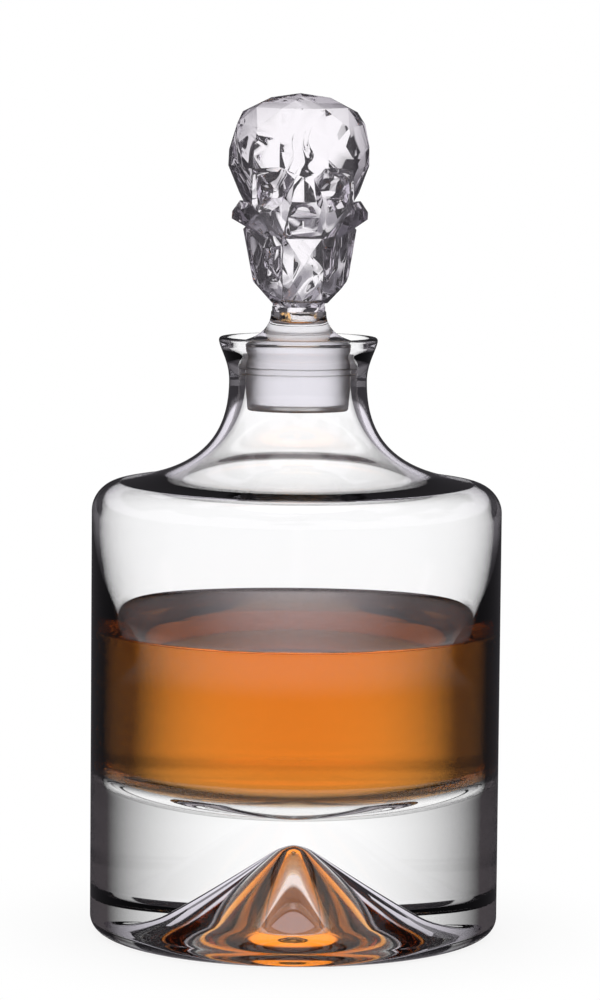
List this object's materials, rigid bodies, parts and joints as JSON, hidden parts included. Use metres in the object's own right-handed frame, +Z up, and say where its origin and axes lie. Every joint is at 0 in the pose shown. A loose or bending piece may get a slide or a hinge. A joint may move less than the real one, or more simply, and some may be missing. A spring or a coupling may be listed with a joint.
{
  "type": "spirit decanter",
  "caption": "Round glass spirit decanter: thick base with a cone pressed into it, waisted neck, flared lip, amber spirit, and a sealed stopper that carries a faceted glass skull.",
  "frame": {"origin": "on the standing surface, on the axis of the vessel", "axes": "+Z up along the vessel's axis, +X to the viewer's right, and the skull looks towards -Y, turned 3 degrees towards +X"},
  "size_m": [0.138, 0.138, 0.2826],
  "materials": {
    "crystal": "clear fire-polished crystal glass, with flat pressed facets on the skull",
    "spirit": "clear amber liquid",
    "frosted_silicone": "frosted translucent silicone",
    "clear_adhesive": "clear cured adhesive"
  },
  "bodies": {
    "vessel": {"decanter_body": "crystal", "liquor_fill": "spirit"},
    "sleeve": {"seal_sleeve": "frosted_silicone"},
    "stopper": {"stopper_collar": "crystal", "bond_film": "clear_adhesive", "skull_head": "crystal"}
  },
  "joints": [
    {"name": "stopper_lift", "type": "slide", "parent": "vessel", "child": "sleeve", "axis": [0, 0, 1], "range_m": [0, 0.028]},
    {"name": "stopper_turn", "type": "hinge", "parent": "sleeve", "child": "stopper", "pos_m": [0, 0, 0.1993], "axis": [0, 0, 1], "continuous": true}
  ]
}
